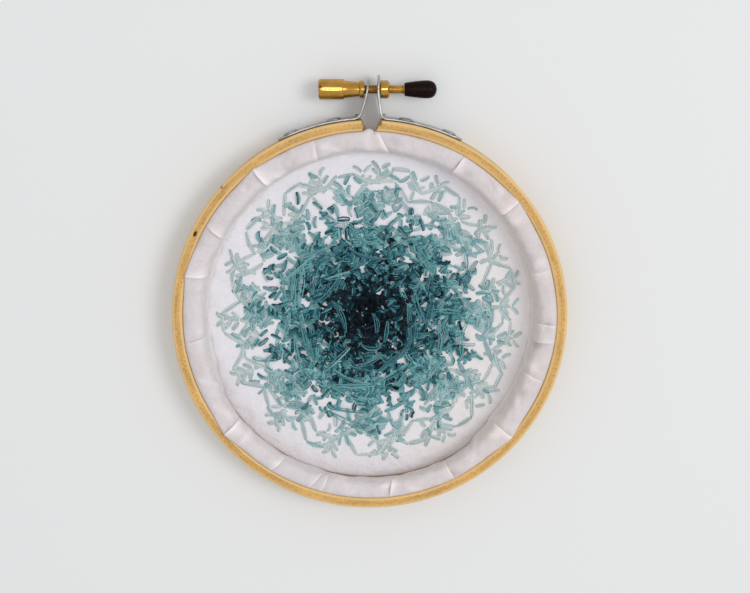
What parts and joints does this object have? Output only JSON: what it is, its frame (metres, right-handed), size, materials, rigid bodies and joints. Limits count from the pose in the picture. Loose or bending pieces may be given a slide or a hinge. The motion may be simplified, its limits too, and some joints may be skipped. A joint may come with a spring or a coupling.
{
  "type": "hoop embroidery art: embroidered cloth in a wooden embroidery hoop",
  "caption": "Round embroidered cloth held in a split wooden hoop with a clamp screw, its spare edge folded in at the back in pleats.",
  "frame": {"origin": "on the resting surface, under the middle of the bounding box; the hoop's own centre line is at x 0, y -6.05 mm", "axes": "+Z out of the back of the work, parallel to the hoop's centre line; +Y from the hoop's centre to the clamp; +X along the clamp screw, from its head to its tip"},
  "size_m": [0.111, 0.1231, 0.0116],
  "materials": {
    "beech": "satin, sanded, unvarnished",
    "inner_wood": "bare, brown",
    "cotton": "fine plain weave, white",
    "plated_steel": "nickel plated",
    "brass": "bright, a little tarnished in the knurl",
    "cap_rubber": "soft satin black-brown"
  },
  "bodies": {
    "hoop": {"outer_ring": "beech", "inner_ring": "inner_wood", "cloth": "cotton", "bracket_left": "plated_steel", "bracket_right": "plated_steel", "rivet_left_near": "plated_steel", "rivet_left_far": "plated_steel", "rivet_right_near": "plated_steel", "rivet_right_far": "plated_steel", "nut": "brass"},
    "thumb_screw": {"screw": "brass", "tip_cap": "cap_rubber"}
  },
  "joints": [
    {"name": "screw_turn", "type": "hinge", "parent": "hoop", "child": "thumb_screw", "pos_m": [0, 0.05765, 0.0045], "axis": [1, 0, 0], "range_deg": [-180, 180]}
  ]
}
